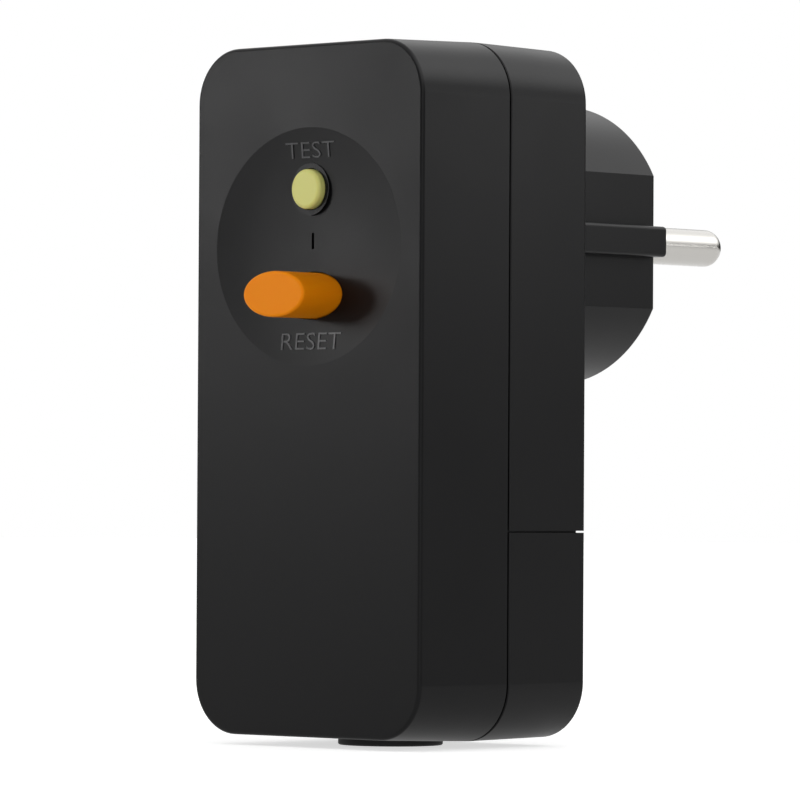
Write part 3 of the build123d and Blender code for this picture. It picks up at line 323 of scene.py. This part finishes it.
soft_lamp(
    "far_left_lamp",
    place_mm=(-509, -400, 150),
    target_mm=(0, -47, 45),
    radius_mm=200,
    beam_degrees=20,
    watts=6.6,
)
soft_lamp(
    "upper_left_key_lamp",
    place_mm=(-294, -624, 44),
    target_mm=(0, -47, 25),
    radius_mm=15,
    beam_degrees=15,
    watts=2.8,
    mirrored=False,
)
soft_lamp(
    "front_mirror_lamp",
    place_mm=(-456, -507, 62),
    target_mm=(0, -47, 25),
    radius_mm=40,
    beam_degrees=15,
    watts=1.85,
    matt=False,
)
soft_lamp(
    "right_rear_lamp",
    place_mm=(410, 380, 80),
    target_mm=(20, -32, 45),
    radius_mm=40,
    beam_degrees=19,
    watts=0.9,
)
soft_lamp(
    "camera_fill_lamp",
    place_mm=(748, -850, 0),
    target_mm=(0, -30, -20),
    radius_mm=380,
    beam_degrees=40,
    watts=13,
)

# %% [markdown]
# The floor is under the object's lowest point. It is a plain matt white board.
# To the camera it also glows, which brings it up to the white of the backdrop
# without more light on the object, and it still keeps the shadow. Mirror rays
# see a weaker glow: it is the pale line along the foot of the box.

# %% Floor
FLOOR_SIZE_M = 6.0
FLOOR_GAP = 0.02 * MM
CAMERA_GLOW = 0.64
MIRRORED_GLOW = 0.6

floor_mesh = bpy.data.meshes.new("floor")
grid = bmesh.new()
bmesh.ops.create_grid(grid, x_segments=1, y_segments=1, size=FLOOR_SIZE_M / 2)
grid.to_mesh(floor_mesh)
grid.free()
floor = bpy.data.objects.new("floor", floor_mesh)
floor.location = (0, 0, cad_box[0][2] - FLOOR_GAP)
scene.collection.objects.link(floor)

board_paint, tree, surface = start_material(
    "matt_white_board", {"Base Color": linear("E6E6E6"), "Roughness": 0.9}
)
seen = add_node(tree, "ShaderNodeLightPath")
to_camera = add_node(
    tree,
    "ShaderNodeMath",
    operation="MULTIPLY",
    values={1: CAMERA_GLOW},
    links={0: seen.outputs["Is Camera Ray"]},
)
glow = add_node(
    tree,
    "ShaderNodeMath",
    operation="MULTIPLY_ADD",
    values={1: MIRRORED_GLOW},
    links={0: seen.outputs["Is Glossy Ray"], 2: to_camera.outputs["Value"]},
)
surface.inputs["Emission Color"].default_value = (1, 1, 1, 1)
tree.links.new(glow.outputs["Value"], surface.inputs["Emission Strength"])
floor_mesh.materials.append(board_paint)

# %% [markdown]
# The casing is ABS, moulded in a tool whose steel was spark eroded, so it has
# a fine even grain and a satin, not glossy, black. A photograph texture could
# give the grain, but noise at the real grain size does it anywhere on the
# surface. The true grain is near 0.1 mm and would vanish at this distance, so
# it is drawn at 0.3 mm. A slow second noise keeps large faces from looking
# like paint on glass. The raised words get a smoother black, and it is paler
# than the casing's as a painted highlight: it stands for the light that their
# edges catch.

# %% Black moulded ABS
GRAIN_MM = 0.3
PATCH_MM = 9
PATCH_GLOSS_SPREAD = 0.04
PLASTIC_IOR = 1.53


def moulded_abs(name, colour, roughness, grain_depth_mm, specular):
    """Textured moulded plastic with a spark-eroded grain."""
    material, tree, surface = start_material(
        name, {"Base Color": linear(colour), "IOR": PLASTIC_IOR, "Specular IOR Level": specular}
    )
    place = object_place(tree)
    grain = add_node(
        tree,
        "ShaderNodeTexNoise",
        values={"Scale": per_metre(GRAIN_MM), "Detail": 2.0},
        links={"Vector": place},
    )
    patch = add_node(
        tree,
        "ShaderNodeTexNoise",
        values={"Scale": per_metre(PATCH_MM), "Detail": 3.0},
        links={"Vector": place},
    )
    shiniest, dullest = roughness - PATCH_GLOSS_SPREAD, roughness + PATCH_GLOSS_SPREAD
    vary_gloss(tree, surface, patch.outputs["Fac"], shiniest, dullest)
    add_relief(tree, surface, grain.outputs["Fac"], grain_depth_mm)
    return material


abs_black = moulded_abs(
    "abs_black_spark_eroded", "09090A", roughness=0.36, grain_depth_mm=0.006, specular=0.135
)
# The letters' black is paler than the casing's: a painted highlight for the light on their raised
# edges.
painted_highlight_black = moulded_abs(
    "abs_black_painted_highlight", "202022", roughness=0.34, grain_depth_mm=0.0005, specular=0.42
)

# %% [markdown]
# The two buttons are ABS too, coloured in the mass: a strong orange for reset
# and a pale yellow green for test. Their grain is finer than the casing's, and
# light goes a short way into such bright plastic, so a little subsurface
# scattering softens their edges.

# %% Orange and pale green ABS
SCATTERED_SHARE = 0.25
SCATTER_REACH = (1.0, 0.5, 0.25)

abs_orange = moulded_abs(
    "abs_orange", "F08A04", roughness=0.45, grain_depth_mm=0.002, specular=0.08
)
abs_pale_green = moulded_abs(
    "abs_pale_green", "D2D07C", roughness=0.4, grain_depth_mm=0.002, specular=0.2
)
for button_plastic, scatter_depth_mm in ((abs_orange, 0.6), (abs_pale_green, 0.8)):
    surface = surface_of(button_plastic)
    surface.inputs["Subsurface Weight"].default_value = SCATTERED_SHARE
    surface.inputs["Subsurface Radius"].default_value = SCATTER_REACH
    surface.inputs["Subsurface Scale"].default_value = scatter_depth_mm * MM

# %% [markdown]
# The pins are turned brass with bright nickel on top. Nickel mirrors the room
# with a slightly warm grey, and the lathe leaves rings round the pin, too fine
# to see singly. They are drawn about half a millimetre apart, just deep enough
# to stretch the highlights along the pin. The screws are turned too, and plated
# with zinc, which is bluer and duller.

# %% Turned and plated metals
def turned_metal(name, colour, roughness, ring_pitch_mm, ring_depth_mm):
    """Bright metal with fine turned rings round the Y axis."""
    material, tree, surface = start_material(
        name, {"Base Color": linear(colour), "Metallic": 1.0, "Roughness": roughness}
    )
    rings = add_node(
        tree,
        "ShaderNodeTexWave",
        values={
            "Scale": band_scale(ring_pitch_mm),
            "Distortion": 0.6,
            "Detail": 2.0,
            "Detail Scale": 1.5,
        },
        links={"Vector": object_place(tree)},
        wave_type="BANDS",
        bands_direction="Y",
    )
    add_relief(tree, surface, rings.outputs["Fac"], ring_depth_mm)
    return material


nickel = turned_metal(
    "nickel_plated_brass", "B6B4B0", roughness=0.24, ring_pitch_mm=0.4935, ring_depth_mm=0.0008
)
zinc_screw = turned_metal(
    "zinc_plated_steel", "B9BDC0", roughness=0.3, ring_pitch_mm=0.5922, ring_depth_mm=0.0015
)

# %% [markdown]
# Strips, bars and terminals are rolled sheet or cut bar. Rolling leaves fine
# straight lines, so the noise is stretched along one direction, and the same
# lines are a little duller or shinier than their neighbours.

# %% Rolled sheet metals
ROLLING_STRETCH = 14
SHINIER_LINE = 0.08
DULLER_LINE = 0.12


def rolled_metal(name, colour, roughness, line_mm, depth_mm):
    """Sheet metal with drawn-out rolling lines along Z."""
    material, tree, surface = start_material(name, {"Base Color": linear(colour), "Metallic": 1.0})
    across_lines = per_metre(line_mm)
    stretched = add_node(
        tree,
        "ShaderNodeMapping",
        values={"Scale": (across_lines, across_lines, across_lines / ROLLING_STRETCH)},
        links={"Vector": object_place(tree)},
    )
    lines = add_node(
        tree,
        "ShaderNodeTexNoise",
        values={"Scale": 1.0, "Detail": 3.0},
        links={"Vector": stretched.outputs["Vector"]},
    )
    shiniest, dullest = roughness - SHINIER_LINE, roughness + DULLER_LINE
    vary_gloss(tree, surface, lines.outputs["Fac"], shiniest, dullest)
    add_relief(tree, surface, lines.outputs["Fac"], depth_mm)
    return material


rolled_nickel = rolled_metal(
    "nickel_plated_strip", "D2CFC8", roughness=0.26, line_mm=0.2, depth_mm=0.0012
)
rolled_brass = rolled_metal(
    "rolled_brass", "D3AF5E", roughness=0.28, line_mm=0.2, depth_mm=0.0015
)
phosphor_bronze = rolled_metal(
    "phosphor_bronze", "C98F5A", roughness=0.26, line_mm=0.15, depth_mm=0.001
)
zinc_sheet = rolled_metal(
    "zinc_plated_mild_steel", "B4B6B4", roughness=0.34, line_mm=0.25, depth_mm=0.002
)
spring_wire = rolled_metal(
    "drawn_spring_steel", "A6A6A8", roughness=0.25, line_mm=0.1, depth_mm=0.0005
)

# %% [markdown]
# Inside are moulded frames of glass-filled nylon, which is matt, slightly
# cloudy grey, and the coated parts of the circuit, and at the foot sits the
# rubber bush of the cable. Some of them show when the wiring cover is off, so
# each has its own finish from the same helpers. The windings have their turns
# drawn as ribs.

# %% Inner plastics, rubber and windings
nylon_grey = moulded_abs(
    "glass_filled_nylon", "A8A49A", roughness=0.6, grain_depth_mm=0.008, specular=0.35
)
rubber_black = moulded_abs(
    "neoprene_black", "262626", roughness=0.6, grain_depth_mm=0.01, specular=0.35
)
epoxy_black = moulded_abs(
    "moulding_epoxy_black", "1B1B1D", roughness=0.48, grain_depth_mm=0.004, specular=0.35
)
core_resin = moulded_abs(
    "potting_resin_grey", "4A4F57", roughness=0.55, grain_depth_mm=0.006, specular=0.35
)
capacitor_red = moulded_abs(
    "polyester_case_red", "A8321C", roughness=0.32, grain_depth_mm=0.002, specular=0.5
)
varistor_blue = moulded_abs(
    "epoxy_dip_blue", "24508F", roughness=0.3, grain_depth_mm=0.01, specular=0.5
)
wire_brown = moulded_abs(
    "pvc_brown", "5A3420", roughness=0.4, grain_depth_mm=0.002, specular=0.45
)
lamp_red = moulded_abs(
    "led_epoxy_red", "B3201A", roughness=0.18, grain_depth_mm=0.0005, specular=0.5
)
acrylic_smoke = moulded_abs(
    "acrylic_smoked", "0A0A0B", roughness=0.12, grain_depth_mm=0.0003, specular=0.5
)

ENAMELLED_COPPER = "B5643A"
WIRE_PITCH_MM = 0.5922
WIRE_RELIEF_MM = 0.05


def wound_copper(name, axis):
    """Enamelled copper wire laid side by side in turns along an axis."""
    material, tree, surface = start_material(
        name,
        {
            "Base Color": linear(ENAMELLED_COPPER),
            "Metallic": 0.85,
            "Roughness": 0.28,
            "Coat Weight": 0.6,
        },
    )
    turns = add_node(
        tree,
        "ShaderNodeTexWave",
        values={"Scale": band_scale(WIRE_PITCH_MM), "Distortion": 0.3, "Detail": 1.0},
        links={"Vector": object_place(tree)},
        wave_type="BANDS",
        bands_direction=axis,
    )
    add_relief(tree, surface, turns.outputs["Fac"], WIRE_RELIEF_MM)
    return material


coil_copper = wound_copper("enamelled_copper_coil", "X")
ring_copper = wound_copper("enamelled_copper_ring", "Z")

# %% [markdown]
# The circuit board is glass cloth in epoxy under green solder lacquer. The
# copper tracks show through as slightly lighter, raised lines. The joints of a
# brick texture with long cells give such straight runs, with a short link here
# and there, without any drawing of a circuit. A joint is drawn on both of its
# bricks, so the mortar size is half a track's width.

# %% Green circuit board
BRICK_UNIT_MM = 10
TRACK_WIDTH_MM = 0.56
TRACK_PITCH_MM = 1.7
LINK_PITCH_MM = 23
TRACK_HEIGHT_MM = 0.03

laminate, tree, surface = start_material(
    "fr4_green_lacquer", {"Roughness": 0.3, "IOR": 1.55, "Specular IOR Level": 0.5}
)
board_plane = add_node(
    tree,
    "ShaderNodeMapping",
    values={"Rotation": (math.pi / 2, 0, 0)},
    links={"Vector": object_place(tree)},
)
tracks = add_node(
    tree,
    "ShaderNodeTexBrick",
    values={
        "Color1": linear("175A33"),
        "Color2": linear("155530"),
        "Mortar": linear("2B7F49"),
        "Scale": per_metre(BRICK_UNIT_MM),
        "Mortar Size": TRACK_WIDTH_MM / 2 / BRICK_UNIT_MM,
        "Brick Width": LINK_PITCH_MM / BRICK_UNIT_MM,
        "Row Height": TRACK_PITCH_MM / BRICK_UNIT_MM,
    },
    links={"Vector": board_plane.outputs["Vector"]},
)
tree.links.new(tracks.outputs["Color"], surface.inputs["Base Color"])
add_relief(tree, surface, tracks.outputs["Fac"], TRACK_HEIGHT_MM)

# %% [markdown]
# A resistor is dipped in tan lacquer and rolled past printing wheels that lay
# its colour bands round it. Here a value that runs up and down along the
# resistor's length is cut off at a level, which leaves narrow bands with clean
# edges. A picture of a true colour code would be an option, but the bands are
# under a millimetre wide and hidden in the case. The Mix node's colour sockets
# share their names with its number sockets, so they are picked by their place.

# %% Banded resistors
LACQUER_TAN = "C9A67A"
BAND_BROWN = "6B2A14"
BAND_PITCH_MM = 2.6
BAND_SHARE = 0.3
COLOUR_A_SOCKET, COLOUR_B_SOCKET, COLOUR_RESULT_SOCKET = 6, 7, 2

resistor_tan = moulded_abs(
    "resistor_lacquer_tan", LACQUER_TAN, roughness=0.3, grain_depth_mm=0.002, specular=0.5
)
tree = resistor_tan.node_tree
along = add_node(tree, "ShaderNodeSeparateXYZ", links={"Vector": object_place(tree)})
wheel = add_node(
    tree,
    "ShaderNodeMath",
    operation="PINGPONG",
    values={1: BAND_PITCH_MM / 2 * MM},
    links={0: along.outputs["X"]},
)
inked = add_node(
    tree,
    "ShaderNodeMath",
    operation="LESS_THAN",
    values={1: BAND_PITCH_MM / 2 * BAND_SHARE * MM},
    links={0: wheel.outputs["Value"]},
)
bands = add_node(
    tree,
    "ShaderNodeMix",
    values={COLOUR_A_SOCKET: linear(LACQUER_TAN), COLOUR_B_SOCKET: linear(BAND_BROWN)},
    links={"Factor": inked.outputs["Value"]},
    data_type="RGBA",
)
tree.links.new(
    bands.outputs[COLOUR_RESULT_SOCKET], surface_of(resistor_tan).inputs["Base Color"]
)

# %% [markdown]
# Each CAD piece now gets its finish. The record names a material slot for
# every node, so the finishes are listed by slot, and only where one slot holds
# pieces of different making, such as turned pins and rolled strips, is a node
# named by itself.

# %% Finishes on the CAD pieces
FINISH_OF_SLOT = {
    "housing": abs_black,
    "bush_rubber": rubber_black,
    "screw_steel": zinc_screw,
    "nickel": nickel,
    "brass": rolled_brass,
    "inner_moulding": nylon_grey,
    "board_laminate": laminate,
    "chip_epoxy": epoxy_black,
    "resistor_lacquer": resistor_tan,
    "capacitor_case": capacitor_red,
    "varistor_coating": varistor_blue,
    "led_lens": lamp_red,
    "smoke_acrylic": acrylic_smoke,
    "core_case": core_resin,
    "copper": ring_copper,
    "wire_cover": wire_brown,
    "zinc_steel": zinc_sheet,
    "bronze": phosphor_bronze,
    "spring_steel": spring_wire,
    "reset_orange": abs_orange,
    "test_green": abs_pale_green,
}
FINISH_OF_NODE = {
    "earth_clips": rolled_nickel,
    "solenoid_coil": coil_copper,
    "moving_contacts": rolled_brass,
}
for subpart in frame["record"]["subparts"]:
    node = nodes[subpart["node"]]
    finish = FINISH_OF_NODE.get(subpart["node"], FINISH_OF_SLOT[subpart["material_slot"]])
    for slot in node.material_slots:
        slot.material = finish
print("Finishes:", len(FINISH_OF_SLOT) + len(FINISH_OF_NODE))

# %% [markdown]
# Four coil springs sit where joints move: two behind the buttons, one behind
# the contact carrier and one round the solenoid's plunger. The record says
# which joint shortens each, along which axis, and where its seat is. Each is
# swapped for a copy of the CAD coil with a mesh of its own, in spring steel
# and carried by the casing. The copies keep the CAD coil's shape: nothing here
# makes them flatten.

# %% Spring copies
for joint in frame["record"]["behaviour"]["joints"]:
    for seating in joint.get("deforming_nodes", []):
        spring_name = seating["node"]

        coil = bpy.data.objects.new(f"{spring_name}_coil", nodes[spring_name].data.copy())
        scene.collection.objects.link(coil)
        coil.matrix_world = nodes[spring_name].matrix_world
        coil.data.materials.clear()
        coil.data.materials.append(spring_wire)
        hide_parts(spring_name)
        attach(coil, "casing")
        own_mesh(coil)

# %% [markdown]
# Beside each button a plain word says what it does. On the real piece the
# letters are cut into the mould, so they stand up from the plastic by a hair
# and catch the light along their edges. That light is painted on: the letters
# get a paler black than the casing, a painted highlight. They are set in
# Blender's own plain font, thinned a little, and each point is then laid onto
# the hollow of the dish, which is a ball's, stretched a little sideways. The
# thinning is a share of the font's size. The flat letters need a front and a
# back, and how thick they are doesn't matter, because the relief is set when
# they are laid on.

# %% Moulded words in the dish
FRONT_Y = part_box("front_shell")[0].y
DISH_CENTRE_Z = -1.82 * MM
DISH_HALF_WIDTH = 15.9 * MM
DISH_HALF_HEIGHT = 14.8 * MM
DISH_DEPTH = 0.95 * MM
DISH_SPHERE = (DISH_HALF_HEIGHT**2 + DISH_DEPTH**2) / (2 * DISH_DEPTH)
LETTER_RELIEF = 0.10 * MM
LETTER_THINNING = -0.012
LETTER_CURVE_STEPS = 3


def dish_y(x, z):
    """The depth of the dish's surface at a place on the front face."""
    off_centre = math.hypot(x * DISH_HALF_HEIGHT / DISH_HALF_WIDTH, z - DISH_CENTRE_Z)
    return FRONT_Y + DISH_DEPTH - DISH_SPHERE + math.sqrt(DISH_SPHERE**2 - off_centre**2)


def letter_mesh(name, text):
    """The flat letters of a word as a mesh with a front and a back."""
    letters = bpy.data.curves.new(name, "FONT")
    letters.body = text
    letters.align_x = "CENTER"
    letters.align_y = "CENTER"
    letters.extrude = 0.5
    letters.offset = LETTER_THINNING
    letters.resolution_u = LETTER_CURVE_STEPS
    typeset = bpy.data.objects.new(name, letters)
    scene.collection.objects.link(typeset)
    bpy.context.view_layer.update()
    evaluated = typeset.evaluated_get(bpy.context.evaluated_depsgraph_get())
    mesh = bpy.data.meshes.new_from_object(evaluated)
    bpy.data.objects.remove(typeset)
    return mesh


def moulded_word(name, text, width_mm, height_mm, centre_x_mm, centre_z_mm):
    """Thin raised letters that follow the dish."""
    mesh = letter_mesh(name, text)
    word = bpy.data.objects.new(name, mesh)
    scene.collection.objects.link(word)
    shaped = bmesh.new()
    shaped.from_mesh(mesh)
    across = [vertex.co.x for vertex in shaped.verts]
    rise = [vertex.co.y for vertex in shaped.verts]
    x_scale = width_mm * MM / (max(across) - min(across))
    z_scale = height_mm * MM / (max(rise) - min(rise))
    x_middle = (max(across) + min(across)) / 2
    z_middle = (max(rise) + min(rise)) / 2
    for vertex in shaped.verts:
        x = (vertex.co.x - x_middle) * x_scale + centre_x_mm * MM
        z = (vertex.co.y - z_middle) * z_scale + centre_z_mm * MM
        proud = LETTER_RELIEF if vertex.co.z > 0 else -LETTER_RELIEF
        vertex.co = (x, dish_y(x, z) - proud, z)
    bmesh.ops.recalc_face_normals(shaped, faces=shaped.faces)
    shaped.to_mesh(mesh)
    shaped.free()
    # The paler black gives the letters a painted highlight in place of the light that their edges
    # catch.
    mesh.materials.append(painted_highlight_black)
    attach(word, "casing")
    print(name, "faces:", len(mesh.polygons))


moulded_word(
    "test_word", "TEST", width_mm=8.4, height_mm=2.0, centre_x_mm=0.18, centre_z_mm=10.17
)
moulded_word(
    "reset_word", "RESET", width_mm=10.2, height_mm=2.1, centre_x_mm=0.49, centre_z_mm=-13.57
)
